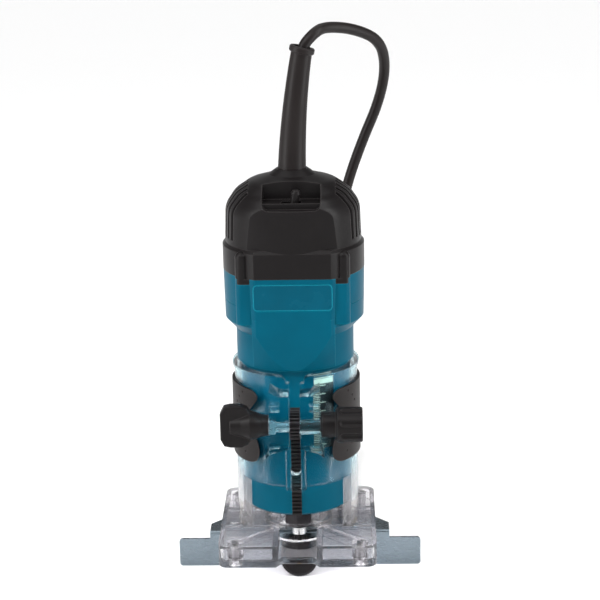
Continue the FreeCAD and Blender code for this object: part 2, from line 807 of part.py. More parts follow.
def between_flats(edge):
    """The upright edges where the flats meet the drum."""
    ends = [vertex.Point for vertex in edge.Vertexes]
    return len(ends) == 2 and abs(ends[0].z - ends[1].z) > 8 and abs(ends[0].y - ends[1].y) < 2.5


def dips(name):
    """Where the cap's rim reaches down over the face of each pillar."""
    sides = []
    for x, y in CORNERS:
        across = sorted((f"{x} * 23.6", f"{x} * 34"), key=number)
        depth = sorted((f"{y} * 30.8", f"{y} * 36"), key=number)
        sides.append(block(f"{name}_{x}_{y}", across, depth, ("parting_z - 3", "parting_z + 0.5")))
    return group(name, *sides)


def housing_outside():
    """Sleeve, neck, cone and square-shouldered housing, with a flat pad and two ribs on front and back."""
    sleeve = turned(
        "sleeve",
        [
            (0, "motor_low"), ("motor_radius - 1.6", "motor_low"), ("motor_radius", "motor_low + 1.6"),
            ("motor_radius", "step_z"), ("neck_radius", "step_z + 0.8"), ("neck_radius", "cone_low"),
            ("housing_radius", "cone_top"), ("housing_radius", "cone_top + 2"), (0, "cone_top + 2"),
        ],
    )
    upper = flattened("housing_upper", "housing_radius", "housing_radius + 0.6", "housing_flat + 0.6", "cone_low",
                      "parting_z")
    upper = rounded("housing_corners", upper, 4, between_flats)
    lower = turned(
        "housing_limit",
        [
            (0, "motor_low"), ("neck_radius", "motor_low"), ("neck_radius", "cone_low"),
            ("housing_radius + 0.7", "cone_top"), ("housing_radius + 0.7", "parting_z"), (0, "parting_z"),
        ],
    )
    waist = block("waist_slab", (-60, 60), ("-housing_flat - 0.6", "housing_flat + 0.6"), (0, "parting_z + 1"))
    pad_cone = turned(
        "pad_cone",
        [
            (0, "step_z + 0.8"), ("neck_radius + 0.1", "step_z + 0.8"), ("housing_radius + 0.3", "cone_low + 2"),
            ("housing_radius + 0.3", "cone_top + 4"), (0, "cone_top + 4"),
        ],
    )
    pad = block("pad_block", (-22.9, 22.9), ("-housing_flat - 0.6", "housing_flat + 0.6"), ("step_z", "cone_top + 6"))
    solid = [
        common("sleeve_flat", sleeve, waist),
        common("housing_cone", upper, lower),
        common("housing_pad", pad_cone, pad),
    ]
    for x, y in CORNERS:
        at = (f"{x} * pillar_x", f"{y} * pillar_y")
        solid.append(rod(f"pillar_{x}_{y}", "pillar_radius", (*at, "pillar_low"), "parting_z - pillar_low"))
        across = sorted((f"{x} * 23.4", f"{x} * pillar_x"), key=number)
        depth = sorted((f"{y} * 24", f"{y} * (pillar_y + pillar_radius)"), key=number)
        solid.append(block(f"rib_{x}_{y}", across, depth, ("pillar_low", "parting_z")))
    return fuse("housing_outside", *solid)


def plaque(name, gap, low, high):
    """A round-cornered plate for the panel on the housing's front."""
    plate = block(name + "_block", (f"-panel_half + {gap}", f"panel_half - {gap}"), (low, high),
                  (f"panel_low + {gap}", f"panel_top - {gap}"))
    return rounded(name + "_corners", plate, 2.4, lambda e: e.Length < 3 and abs(e.tangentAt(0).y) > 0.9)


def motor_housing():
    """The teal moulding that holds the motor, open at the top."""
    tools = [
        turned(
            "housing_hollow",
            [
                (0, "bearing_low + bearing_width + 2"), (18, "bearing_low + bearing_width + 2"),
                (18, "bearing_low + 2"), ("motor_bore - 3", "bearing_low + 2"), ("motor_bore", "bearing_low + 5"),
                ("motor_bore", "step_z + 1"), ("neck_bore", "step_z + 3"), ("neck_bore", "cone_low + 1"),
                ("housing_flat - 2.4", "cone_top"), (0, "cone_top"),
            ],
        ),
        rounded(
            "housing_room",
            flattened("housing_room_sharp", "housing_radius - housing_wall", "housing_radius - housing_wall",
                      "housing_flat - 2.4", "cone_top - 0.5", "parting_z + 0.5"),
            2,
            between_flats,
        ),
        rod("nut_opening", 12.4, (0, 0, "motor_low - 1"), 20),
        rod("bearing_seat", "bearing_radius", (0, 0, "bearing_low"), 20),
        block("rack_seat_cut", ("-rack_width / 2", "rack_width / 2"), (-40, "-rack_seat"), (40, "rack_top")),
        plaque("panel_recess", 0, "-housing_flat - 2", "-housing_flat"),
        common(
            "seam",
            ring("seam_ring", 50, "housing_radius - 0.05", 170.4, 170.7),
            block("seam_sides", (-60, 60), (-23, 23), (170, 171)),
        ),
        dips("housing_dips"),
    ]
    vent = block("exhaust", (-1.6, 1.6), (18.6, "motor_bore - 3.4"), ("motor_low - 1", "bearing_low + 3"))
    doc.recompute()
    slots = []
    for i in range(16):
        slot = vent.Shape.copy()
        slot.rotate(Vector(), Vector(0, 0, 1), 22.5 * i + 11.25)
        slots.append(slot)
    tools.append(made("exhaust_all", Part.makeCompound(slots)))
    for x, y in CORNERS:
        at = (f"{x} * pillar_x", f"{y} * pillar_y")
        tools.append(rod(f"screw_pocket_{x}_{y}", 2.5, (*at, "pillar_low - 1"), 6))
        tools.append(rod(f"screw_way_{x}_{y}", 1.5, (*at, "pillar_low"), "parting_z - pillar_low + 1"))
    return cut("housing", housing_outside(), *tools)


def soft_turned(name, points, radius):
    """A body turned from (radius, height) points, closed along the axis, with its inner corners rounded."""
    corners = [Vector(number(r), 0, number(z)) for r, z in points]
    edges = []
    start = corners[0]
    for before, corner, after in zip(corners, corners[1:], corners[2:]):
        back = (before - corner).normalize()
        onward = (after - corner).normalize()
        half = back.getAngle(onward) / 2
        reach = radius / math.tan(half)
        middle = corner + (back + onward).normalize() * (radius / math.sin(half) - radius)
        edges.append(Part.LineSegment(start, corner + back * reach).toShape())
        edges.append(Part.Arc(corner + back * reach, middle, corner + onward * reach).toShape())
        start = corner + onward * reach
    foot = Vector(0, 0, corners[0].z)
    edges.append(Part.LineSegment(start, corners[-1]).toShape())
    edges.append(Part.LineSegment(corners[-1], foot).toShape())
    edges.append(Part.LineSegment(foot, corners[0]).toShape())
    return made(name, Part.Face(Part.Wire(edges)).revolve(Vector(), Vector(0, 0, 1), 360))


def cap_shape(name, inset):
    """The cap's domed outer or inner form, its front and back gently bowed."""
    low = f"parting_z - {inset}"
    dome = soft_turned(
        name + "_dome",
        [
            (f"cap_radius - 0.9 - {inset}", low), (f"cap_radius - 2.3 - {inset}", f"cap_top - 17 - {inset}"),
            (f"32 - {inset}", f"cap_top - 8.8 - {inset}"), (f"24 - {inset}", f"cap_top - 3.4 - {inset}"),
            (f"12 - {inset}", f"cap_top - {inset}"), (0, f"cap_top - {inset}"),
        ],
        12,
    )
    bows = [
        rod(f"{name}_bow_{y + 1}", f"cap_bow - {inset}", (0, f"{y} * (cap_bow - cap_front)", f"{low} - 1"), 70)
        for y in (-1, 1)
    ]
    return common(name, dome, *bows)


def cap_band():
    """The cap's lower band, which follows the housing's flat front and back."""
    drum = turned(
        "band_drum",
        [
            (0, "parting_z"), ("cap_radius", "parting_z"), ("cap_radius", "band_top - 1.6"),
            ("cap_radius - 1.3", "band_top"), (0, "band_top"),
        ],
    )
    slab = padded(
        "band_slab",
        "YZ_Plane",
        [
            ("-cap_front", "parting_z"), ("cap_front", "parting_z"), ("cap_front", "band_top - 1.6"),
            ("cap_front - 1.3", "band_top"), ("-cap_front + 1.3", "band_top"), ("-cap_front", "band_top - 1.6"),
        ],
        -60,
        120,
    )
    return common("cap_band", drum, slab)


def top_cap():
    """The black cap: inlet slots down both sides, a switch recess in front and a boss for the cord guard."""
    parts = [
        cap_shape("cap_outside", 0),
        cap_band(),
        cone("guard_boss", 14.6, 9, (0, 0, "cap_top - 1.4"), 4),
    ]
    for x, y in CORNERS:
        at = (f"{x} * pillar_x", f"{y} * pillar_y")
        parts.append(rod(f"cap_pillar_{x}_{y}", "pillar_radius", (*at, "parting_z"), "pillar_top - parting_z"))
        parts.append(ball(f"cap_pillar_end_{x}_{y}", "pillar_radius", (*at, "pillar_top")))
    parts.append(common("cap_dips", housing_outside(), dips("cap_dip_blocks")))
    kept = [
        block("recess_tub", ("-recess_half - 1.8", "recess_half + 1.8"), (-40, "-recess_back + 2"),
              ("recess_low - 2.2", "cap_top")),
    ]
    for x, y in CORNERS:
        at = (f"{x} * pillar_x", f"{y} * pillar_y", "parting_z - 4")
        kept.append(rod(f"cap_post_{x}_{y}", "pillar_radius", at, 17))
    hollow = cut("cap_hollow", cap_shape("cap_inside", SIZES["cap_wall"]), *kept)
    recess = block("recess", ("-recess_half", "recess_half"), (-60, "-recess_back"), ("recess_low", "cap_top + 9"))
    recess = rounded("recess_soft", recess, 3.5, lambda e: abs(abs(e.CenterOfMass.x) - SIZES["recess_half"]) < 0.01
                     and abs(e.CenterOfMass.z - SIZES["recess_low"]) < 0.01)
    shelf = block("recess_shelf", ("-recess_half - 1", "recess_half + 1"), ("-lever_y - 4.4", "-recess_back + 1"),
                  ("recess_low - 1", "recess_low + 3.4"))
    tools = [
        hollow,
        cut("recess_room", recess, shelf),
        leaned(rod("guard_bore", 6.4, (0, 0, 0), 40), -20),
        leaned(rod("guard_seat", 8, (0, 0, 0), 10), -1),
        block("lever_slot", (-5.4, 5.4), ("-lever_y - 3.1", "-lever_y + 3.1"), ("recess_low - 4", "recess_low + 4")),
    ]
    for x, y in CORNERS:
        at = (f"{x} * pillar_x", f"{y} * pillar_y")
        tools.append(rod(f"cap_screw_way_{x}_{y}", 1.5, (*at, "parting_z - 4"), 17))
    for i in range(-4, 5):
        for x in (-1, 1):
            y = f"{i} * vent_step"
            reach = sorted((f"{x} * 24", f"{x} * 60"), key=number)
            tools.append(
                block(f"vent_{i + 4}_{x + 1}", reach, (f"{y} - vent_width / 2", f"{y} + vent_width / 2"),
                      ("band_top + 3.2", "cap_top - 3"))
            )
    return cut("cap", fuse("cap_solid", *parts), *tools)


def cap_screws():
    """Four long screws, driven up the pillars from below."""
    screws = []
    for x, y in CORNERS:
        at = (f"{x} * pillar_x", f"{y} * pillar_y")
        head = rod(f"cap_head_{x}_{y}", 2.5, (*at, "pillar_low + 3"), 2)
        stem = rod(f"cap_stem_{x}_{y}", 1.5, (*at, "pillar_low + 3"), "parting_z - pillar_low + 10")
        slot = block(f"cap_drive_{x}_{y}", (f"{at[0]} - 1.6", f"{at[0]} + 1.6"),
                     (f"{at[1]} - 0.4", f"{at[1]} + 0.4"),
                     ("pillar_low", "pillar_low + 4"))
        screws.append(cut(f"cap_screw_{x}_{y}", fuse(f"cap_blank_{x}_{y}", head, stem), slot))
    return group("cap_screw_set", *screws)


def rack():
    """A toothed strip let into the front of the sleeve; one gap faces the pinion's tooth."""
    bar = block(
        "rack_bar", ("-rack_width / 2", "rack_width / 2"), ("-rack_tip", "-rack_seat"), ("rack_low", "rack_top")
    )
    doc.recompute()
    pitch, middle = SIZES["rack_pitch"], SIZES["knob_z"]
    gap = Part.makePolygon(
        [Vector(0, -SIZES["rack_root"], 0.46), Vector(0, -SIZES["rack_tip"] - 0.1, 0.86),
         Vector(0, -SIZES["rack_tip"] - 0.1, -0.86), Vector(0, -SIZES["rack_root"], -0.46),
         Vector(0, -SIZES["rack_root"], 0.46)]
    )
    groove = Part.Face(gap).extrude(Vector(12, 0, 0))
    groove.translate(Vector(-6, 0, 0))
    grooves = []
    first = math.ceil((SIZES["rack_low"] - middle) / pitch)
    last = math.floor((SIZES["rack_top"] - middle) / pitch)
    for i in range(first, last + 1):
        copy = groove.copy()
        copy.translate(Vector(0, 0, middle + i * pitch))
        grooves.append(copy)
    return cut("rack_toothed", bar, made("rack_gaps", Part.makeCompound(grooves)))


node("motor_housing", motor_housing())
node("top_cap", top_cap())
node("cap_screws", cap_screws())
node("label_plate", plaque("label", 0.12, "-housing_flat - 0.45", "-housing_flat"))
node("rack", rack())


# ---------------------------------------------------------------- switch and cord entry

def switch_body():
    """The toggle switch under the recess's shelf, hollow where the lever turns."""
    case = block("switch_case", (-9, 9), ("-lever_y - 5", "-lever_y + 9"), ("recess_low - 19", "recess_low - 3.05"))
    room = block("switch_room", (-6, 6), ("-lever_y - 3.1", "-lever_y + 3.1"), ("recess_low - 12", "recess_low"))
    pin = rod("switch_pin", 1, (0, "-lever_y - 4", "recess_low - 6"), 10, "y")
    return fuse("switch", cut("switch_open", case, room), pin)


def switch_lever():
    """A bat lever on the switch's pin, leaning to its right-hand stop."""
    bat = turned(
        "bat",
        [(0, -4), (2.2, -4), (2.3, 4), (2.2, 10), (2.7, 14.4), (1.9, 16.2), (0, 16.8)],
    )
    heel = rod("lever_heel", 2.8, (0, -2.8, 0), 5.6, "y")
    bore = rod("lever_bore", 1.04, (0, -4, 0), 8, "y")
    lever = cut("lever_upright", fuse("lever_blank", bat, heel), bore)
    doc.recompute()
    shape = lever.Shape.copy()
    shape.rotate(Vector(), Vector(0, 1, 0), 10)
    shape.translate(Vector(0, -SIZES["lever_y"], SIZES["recess_low"] - 6))
    return made("lever", shape)


def guard_loft(name, stations):
    """A round bar on the guard's bent axis, through a radius at each distance."""
    rings = []
    for distance, radius in stations:
        wire = Part.Wire(Part.makeCircle(radius))
        wire.Placement = on_guard(distance)
        rings.append(wire)
    return made(name, Part.makeLoft(rings, True))


def guard_way(name, radius, high):
    """A bar of one radius from inside the cap up the guard's axis."""
    return guard_loft(name, [(distance, radius) for distance in range(-38, high + 1, 6)])


def cord_guard():
    """A tapered rubber sleeve, bent a little to the right, with a tilted flange at its flared mouth."""
    length = SIZES["guard_length"]
    hole = SIZES["cord_radius"] + 0.02
    flange = SIZES["guard_length"] - 1.9
    body = guard_loft(
        "guard_body",
        [
            (1, 7.85), (8, 7.65), (20, 7.25), (32, 6.85), (44, 6.45), (56, 6.1), (length - 4, 5.85),
            (length - 2, 5.8),
        ],
    )
    foot = turned("guard_foot", [(0, -9), (9, -9), (9, -6.6), (6.3, -6.6), (6.3, -1), (7.85, 1.2), (0, 1.2)])
    rim = turned("guard_rim", [(0, -1.7), (6.5, -1.7), (7.05, -1.1), (7.05, 1.1), (6.5, 1.7), (0, 1.7)])
    mouth = leaned(cone("guard_mouth", hole, 5.3, (0, 0, 0), 15), length - 13)
    solid = fuse("guard_solid", body, leaned(foot, 0), leaned(rim, flange, 3.4))
    return cut("guard", solid, guard_way("guard_way", hole, 60), mouth)


def inner_lead():
    """The cord's hidden start, from the switch up to the guard's mouth."""
    end = leaned(rod("lead_end", 10, (0, 0, 0), 30), SIZES["guard_length"] - 12.4)
    return cut("lead", guard_way("lead_bar", SIZES["cord_radius"], 60), end)


def cord_clamp():
    """A bar that holds the inner lead, screwed to two posts of the cap."""
    bar = block("clamp_bar", (-12, 12), (-8, 8), ("clamp_low", "clamp_low + 6"))
    way = guard_way("clamp_way", SIZES["cord_radius"] + 0.02, 4)
    ways = [
        rod(f"clamp_screw_way_{x + 1}", 1.5, (f"{x} * 9.5", -10, "clamp_low + 3"), 30, "y") for x in (-1, 1)
    ]
    return cut("clamp_bored", bar, way, *ways)


def clamp_screws():
    screws = []
    for x in (-1, 1):
        at = (f"{x} * 9.5", -8, "clamp_low + 3")
        screws.append(
            fuse(
                f"clamp_screw_{x + 1}",
                rod(f"clamp_screw_stem_{x + 1}", 1.5, at, 26, "y"),
                rod(f"clamp_screw_head_{x + 1}", 2.4, (at[0], -10, at[2]), 2, "y"),
            )
        )
    return group("clamp_screw_pair", *screws)


node("switch_body", switch_body())
node("switch_lever", switch_lever())
node("cord_guard", cord_guard())
node("inner_lead", inner_lead())
node("cord_clamp", cord_clamp())
node("clamp_screws", clamp_screws())


# ---------------------------------------------------------------- motor: fixed parts

def bearing_balls(name, count, radius, circle, height):
    balls = []
    for i in range(count):
        angle = 2 * math.pi * i / count
        at = (circle * math.cos(angle), circle * math.sin(angle), height)
        balls.append(ball(f"{name}_{i}", radius, at))
    return balls


def bearing_bracket():
    """A windowed disc across the neck that carries the upper bearing."""
    disc = rod("bracket_disc", "neck_bore - 0.3", (0, 0, 151), 3)
    seat = rod("bracket_seat", 15.5, (0, 0, 151), 14)
    windows = []
    for i in range(4):
        angle = math.radians(45 + 90 * i)
        windows.append(rod(f"bracket_window_{i}", 4.6, (22.5 * math.cos(angle), 22.5 * math.sin(angle), 150), 6))
    return cut("bracket", fuse("bracket_solid", disc, seat), rod("bracket_bore", 13, (0, 0, 140), 40), *windows)


def brush_gear():
    """Two square guides, each with a carbon brush pressed onto the commutator by a spring."""
    holders, brushes, springs = [], [], []
    for x in (-1, 1):
        span = sorted((f"{x} * 13.5", f"{x} * 29.5"), key=number)
        case = block(f"holder_case_{x + 1}", span, (-4.5, 4.5), (137, 151))
        room = sorted((f"{x} * 13", f"{x} * 29"), key=number)
        hollow = block(f"holder_room_{x + 1}", room, (-2.5, 2.5), (139.5, 146.5))
        holders.append(cut(f"holder_{x + 1}", case, hollow))
        span = sorted((f"{x} * 11.05", f"{x} * 22"), key=number)
        brushes.append(block(f"brush_{x + 1}", span, (-2.5, 2.5), (139.5, 146.5)))
        start = 22 if x > 0 else -29
        springs.append(
            cut(
                f"spring_{x + 1}",
                rod(f"spring_outside_{x + 1}", 2.3, (start, 0, 143), 7, "x"),
                rod(f"spring_inside_{x + 1}", 1.7, (start - 1, 0, 143), 9, "x"),
            )
        )
    return group("holders", *holders), group("brushes", *brushes), group("springs", *springs)


node("stator_core", ring("stator", "motor_bore", 19, 80, 118))
node(
    "field_coils",
    group("coils", ring("coil_low", 27.5, 20.5, 72.5, 80), ring("coil_high", 27.5, 20.5, 118, 125.5)),
)
node("air_baffle", ring("baffle", "motor_bore", 19.5, 71, 72.3))
node("bearing_bracket", bearing_bracket())
node("bearing_sleeve", ring("sleeve_rubber", 13, 11, 156, 165))
node(
    "lower_bearing_outer",
    ring("lower_race", "bearing_radius", 11.9, "bearing_low", "bearing_low + bearing_width"),
)
node("upper_bearing_outer", ring("upper_race", 11, 9.3, 157, 164))
holders, brushes, springs = brush_gear()
node("brush_holders", holders)
node("carbon_brushes", brushes)
node("brush_springs", springs)
node("capacitor", rod("capacitor_can", 6, (22, 0, 154), 24))


# ---------------------------------------------------------------- motor: turning parts

def armature_core():
    core = doc.addObject("PartDesign::Body", "armature")
    turn = core.newObject("PartDesign::Revolution", "armature_turn")
    turn.Profile = outline(core, "XZ_Plane", [(5, 81), (18.3, 81), (18.3, 117), (5, 117)])
    turn.ReferenceAxis = (turn.Profile[0], ["V_Axis"])
    turn.Angle = 360
    slot = core.newObject("PartDesign::Pocket", "armature_slot")
    slot.Profile = outline(core, "XY_Plane", [(13, "-0.9"), (19, "-0.9"), (19, "0.9"), (13, "0.9")], 80)
    slot.Length = 40
    slot.Reversed = True
    ring_pattern(core, slot, 12)
    return core


def commutator():
    bars = doc.addObject("PartDesign::Body", "commutator_body")
    turn = bars.newObject("PartDesign::Revolution", "commutator_turn")
    turn.Profile = outline(
        bars, "XZ_Plane", [(5, 134.5), (12.4, 134.5), (12.4, 136.5), (11, 136.8), (11, 149), (5, 149)]
    )
    turn.ReferenceAxis = (turn.Profile[0], ["V_Axis"])
    turn.Angle = 360
    slot = bars.newObject("PartDesign::Pocket", "commutator_slot")
    slot.Profile = outline(bars, "XY_Plane", [(10.2, "-0.2"), (13, "-0.2"), (13, "0.2"), (10.2, "0.2")], 134)
    slot.Length = 16
    slot.Reversed = True
    ring_pattern(bars, slot, 24)
    return bars


def cooling_fan():
    blades = []
    disc = ring("fan_disc", 26, 5, 68.5, 70)
    hub = ring("fan_hub", 8.5, 5, 62.5, 69)
    blade = block("fan_blade", (7.8, 25.6), (-0.7, 0.7), (62.8, 69))
    doc.recompute()
    for i in range(11):
        copy = blade.Shape.copy()
        copy.rotate(Vector(), Vector(0, 0, 1), 360 / 11 * i)
        blades.append(copy)
    return made("fan", disc.Shape.multiFuse([hub.Shape, *blades]).removeSplitter())


def spindle_shaft():
    """Stepped shaft; its lower end is bored for the collet."""
    return turned(
        "shaft",
        [
            (4.65, 34), (6.4, 34), (6.4, 48), (7.4, 48), (7.4, "bearing_low"), ("shaft_radius", "bearing_low"),
            ("shaft_radius", 61), (5, 61.6), (5, 156), (4, 157), (4, 167), (0, 167), (0, 50), (4.65, 48.5),
        ],
    )


def collet_cone():
    """A split collet: its nose shows below the nut and its collar sits inside."""
    body = turned(
        "collet",
        [
            ("shank_radius", "collet_low"), (4.3, "collet_low"), (4.3, 31.3), (6.2, 32.6), (6.2, 33.4), (4.6, 33.9),
            (4.6, 47), ("shank_radius", 47),
        ],
    )
    slits = [block(f"collet_slit_{x}", (-x, x), (x - 5.3, 5.3 - x), ("collet_low - 1", 42)) for x in (0.3, 5)]
    return cut("collet_split", body, *slits)


def collet_nut():
    """A hexagonal nut over the spindle's nose, chamfered at both ends."""
    across = "nut_flats / 2"
    corners = []
    for i in range(6):
        angle = math.radians(60 * i + 24)
        reach = f"{across} / cos(30)"
        corners.append((f"{reach} * {math.cos(angle):.6f}", f"{reach} * {math.sin(angle):.6f}"))
    hexagon = padded("nut_hexagon", "XY_Plane", corners, "nut_low", "nut_top - nut_low")
    limit = turned(
        "nut_limit",
        [
            (0, "nut_low"), ("nut_flats / 2 - 1", "nut_low"), ("nut_flats / 2 + 1.4", "nut_low + 2.6"),
            ("nut_flats / 2 + 1.4", "nut_top - 1"), ("nut_flats / 2", "nut_top"), (0, "nut_top"),
        ],
    )
    tools = [
        rod("nut_thread", 6.45, (0, 0, 34), 20),
        rod("nut_mouth", 4.4, (0, 0, "nut_low - 1"), 10),
        rod("nut_cone_room", 6.45, (0, 0, 31.2), 4),
    ]
    return cut("nut", common("nut_chamfered", hexagon, limit), *tools)


node("spindle_shaft", spindle_shaft())
node("armature_core", armature_core())
node(
    "armature_windings",
    group("windings", ring("winding_low", 16.5, 5, 75, 81), ring("winding_high", 16.5, 5, 117, 125)),
)
node("commutator", commutator())
node("cooling_fan", cooling_fan())
node(
    "lower_bearing_inner",
    group("lower_inner", ring("lower_inner_race", 8.1, "shaft_radius", "bearing_low", "bearing_low + bearing_width"),
          *bearing_balls("lower_ball", 9, 1.88, 10, "bearing_low + bearing_width / 2")),
)
node(
    "upper_bearing_inner",
    group("upper_inner", ring("upper_inner_race", 6, 4, 157.2, 164), *bearing_balls("upper_ball", 8, 1.62, 7.65, 160.5)),
)
node(
    "collet_cone",
    collet_cone(),
)
node("collet_nut", collet_nut())


# ---------------------------------------------------------------- cord, hank and plug

CORD_ROUTE = [
    (5.11, 0, 298.74),
    (5.8, 0.3, 308.9),
    (13.6, 3.5, 317.5),
    (19.9, 11, 319.8),
    (35.5, 22, 317.2),
    (50.3, 34.5, 309.2),
    (54, 49, 292),
    (50, 60, 270),
    (40, 66, 246),
    (30, 66, 218),
    (24, 63, 186),
    (22.5, 60.5, 148),
    (24, 60, 108),
    (25.2, 61, 70),
    (25.5, 64.5, 36),
    (25.1, 74, 13.5),
    (24.9, 90, 3.3),
    (24.9, 104, 3.1),
]
TAIL_ROUTE = [
    (-24.9, 150, 27.95),
    (-24.9, 124.2, 28.4),
    (-6.2, 113.4, 29.6),
    (12.5, 124.2, 32.2),
    (12.5, 140, 34.4),
]


def cord_tube(name, route):
    """A plain tube along straight runs joined by tangent arcs."""
    points = [Vector(*point) for point in route]
    edges, start, length = [], points[0], 0.0
    for before, corner, after in zip(points, points[1:], points[2:]):
        into, out = (corner - before).normalize(), (after - corner).normalize()
        half = into.getAngle(out) / 2
        reach = 0.45 * min((corner - before).Length, (after - corner).Length)
        radius = reach / math.tan(half)
        first, last = corner - into * reach, corner + out * reach
        inward = (out - into).normalize()
        middle = corner + inward * (radius / math.cos(half) - radius)
        edges.append(Part.LineSegment(start, first).toShape())
        edges.append(Part.Arc(first, middle, last).toShape())
        length += (first - start).Length + radius * 2 * half
        start = last
        print(f"{name}: bend of radius {radius:.1f} mm at height {corner.z:.0f}")
    edges.append(Part.LineSegment(start, points[-1]).toShape())
    length += (points[-1] - start).Length
    path = Part.Wire(edges)
    section = Part.Wire(Part.makeCircle(SIZES["cord_radius"], points[0], points[1] - points[0]))
    shape = path.makePipeShell([section], True, True)
    ideal = math.pi * SIZES["cord_radius"] ** 2 * length
    print(f"{name}: length {length:.1f} mm, volume {shape.Volume:.0f} of {ideal:.0f} mm3")
    if abs(shape.Volume - ideal) > 0.01 * ideal:
        raise ValueError(f"{name} has the wrong volume")
    return made(name + "_swept", shape)


def stadium(name, radius, low, high):
    """A round-ended block along Y, round the hank's two folds."""
    front, back = "hank_front + 28", "hank_front + 28 + hank_run"
    return fuse(
        name,
        rod(name + "_front", radius, (0, front, low), f"({high}) - ({low})"),
        rod(name + "_back", radius, (0, back, low), f"({high}) - ({low})"),
        block(name + "_middle", (f"-({radius})", radius), (front, back), (low, high)),
    )


def hank_tie():
    return cut(
        "tie",
        block("tie_outside", (-29, 29), (172, 178), (0, 26)),
        block("tie_inside", (-28, 28), (171, 179), (1, 25)),
    )


def cord_hank(tie):
    """The wound hank as one closed ring, with the ends where the cord enters and leaves it."""
    lane = "28 - cord_radius"
    ring_shape = cut("hank_ring", stadium("hank_outside", 28, 0, 24.8), stadium("hank_inside", 15.6, -1, 26))
    lead_in = rod("hank_lead_in", "cord_radius", (lane, 104.2, "cord_radius"), 20, "y")
    lead_out = rod("hank_lead_out", "cord_radius", (f"-({lane})", 150.3, 27.95), 18, "y")
    saddle = block("hank_saddle", (-26.6, -23.2), (150.3, 168), (23, 27))
    return cut("hank", fuse("hank_whole", ring_shape, lead_in, lead_out, saddle), tie)


def plug_body():
    """A flat two-pin plug with a tapered strain relief, lying on the hank."""
    at = (12.5, "34.4")
    relief = cone("plug_relief", 4.2, 6.6, (at[0], 140.5, at[1]), 21.5, "y")
    waist = block("plug_waist", ("12.5 - 11", "12.5 + 11"), (160, 170), ("26", "26 + 15.6"))
    waist = rounded("plug_waist_round", waist, 3, lambda e: e.Length > 9.9 and abs(e.tangentAt(0).y) > 0.9)
    face = block("plug_face", ("12.5 - 17", "12.5 + 17"), (168, 190), ("26", "26 + 16.8"))
    face = rounded("plug_face_round", face, 5, lambda e: abs(e.tangentAt(0).y) > 0.9)
    bores = [rod(f"plug_bore_{x + 1}", 2.4, (f"12.5 + {x} * 9.5", 180, "34.4"), 12, "y") for x in (-1, 1)]
    return cut("plug", fuse("plug_solid", relief, waist, face), *bores)


def plug_pins():
    pins = []
    for x in (-1, 1):
        stem = rod(f"pin_stem_{x + 1}", 2.4, (f"12.5 + {x} * 9.5", 180, "34.4"), 27, "y")
        tip = ball(f"pin_tip_{x + 1}", 2.4, (f"12.5 + {x} * 9.5", 207, 34.4))
        pins.append(fuse(f"pin_{x + 1}", stem, tip))
    return group("pins", *pins)


tie = hank_tie()
node("cord_tube", cord_tube("cord_tube", CORD_ROUTE))
node("cord_hank", cord_hank(tie))
node("cord_tail", cord_tube("cord_tail", TAIL_ROUTE))
node("hank_tie", tie)
node("plug_body", plug_body())
node("plug_pins", plug_pins())


# ---------------------------------------------------------------- check and write

doc.recompute()
failed = [item.Name for item in doc.Objects if "Invalid" in item.State or "Error" in item.State]
for name, item in nodes.items():
    if item.Shape.isNull() or not item.Shape.isValid() or not item.Shape.Solids:
        failed.append(name)
if failed:
    raise ValueError(f"these objects failed: {failed}")

os.makedirs("parts", exist_ok=True)
for name, item in nodes.items():
    item.Shape.exportStep(f"parts/{item.Label}.step")
print(f"{len(nodes)} sub-parts written")
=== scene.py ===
import json
import math

import bpy
from mathutils import Matrix, Vector


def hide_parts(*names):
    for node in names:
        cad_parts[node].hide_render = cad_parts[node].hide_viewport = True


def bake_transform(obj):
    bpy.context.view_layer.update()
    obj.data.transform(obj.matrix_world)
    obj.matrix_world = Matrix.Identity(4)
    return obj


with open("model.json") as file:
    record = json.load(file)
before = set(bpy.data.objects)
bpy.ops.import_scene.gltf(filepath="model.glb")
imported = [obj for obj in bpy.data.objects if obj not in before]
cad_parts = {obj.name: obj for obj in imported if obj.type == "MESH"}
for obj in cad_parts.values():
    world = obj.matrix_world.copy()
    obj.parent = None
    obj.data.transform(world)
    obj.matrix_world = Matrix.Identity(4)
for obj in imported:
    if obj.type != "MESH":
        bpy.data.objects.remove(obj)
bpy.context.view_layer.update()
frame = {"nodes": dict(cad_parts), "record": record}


# ---------------------------------------------------------------- camera

CAMERA_DISTANCE = 0.917
CAMERA_HEIGHT = 0.421
CAMERA_TURN = math.radians(1.5)
CAMERA_PITCH = math.radians(15.5)
CAMERA_ROLL = math.radians(-1.1)
CAMERA_ASIDE = 0.0031
LENS = 100.3


def make_camera():
    data = bpy.data.cameras.new("camera")
    data.lens = LENS
    data.sensor_width = 36
    data.clip_start = 0.05
    data.clip_end = 50
    camera = bpy.data.objects.new("camera", data)
    bpy.context.scene.collection.objects.link(camera)
    right = Vector((math.cos(CAMERA_TURN), math.sin(CAMERA_TURN), 0))
    toward = Vector((-math.sin(CAMERA_TURN), math.cos(CAMERA_TURN), 0))
    place = right * CAMERA_ASIDE - toward * CAMERA_DISTANCE
    place.z = CAMERA_HEIGHT
    look = toward * math.cos(CAMERA_PITCH) - Vector((0, 0, math.sin(CAMERA_PITCH)))
    turn = look.to_track_quat("-Z", "Y").to_matrix().to_4x4()
    camera.matrix_world = Matrix.Translation(place) @ turn @ Matrix.Rotation(CAMERA_ROLL, 4, "Z")
    bpy.context.scene.camera = camera


make_camera()


# ---------------------------------------------------------------- stage and light

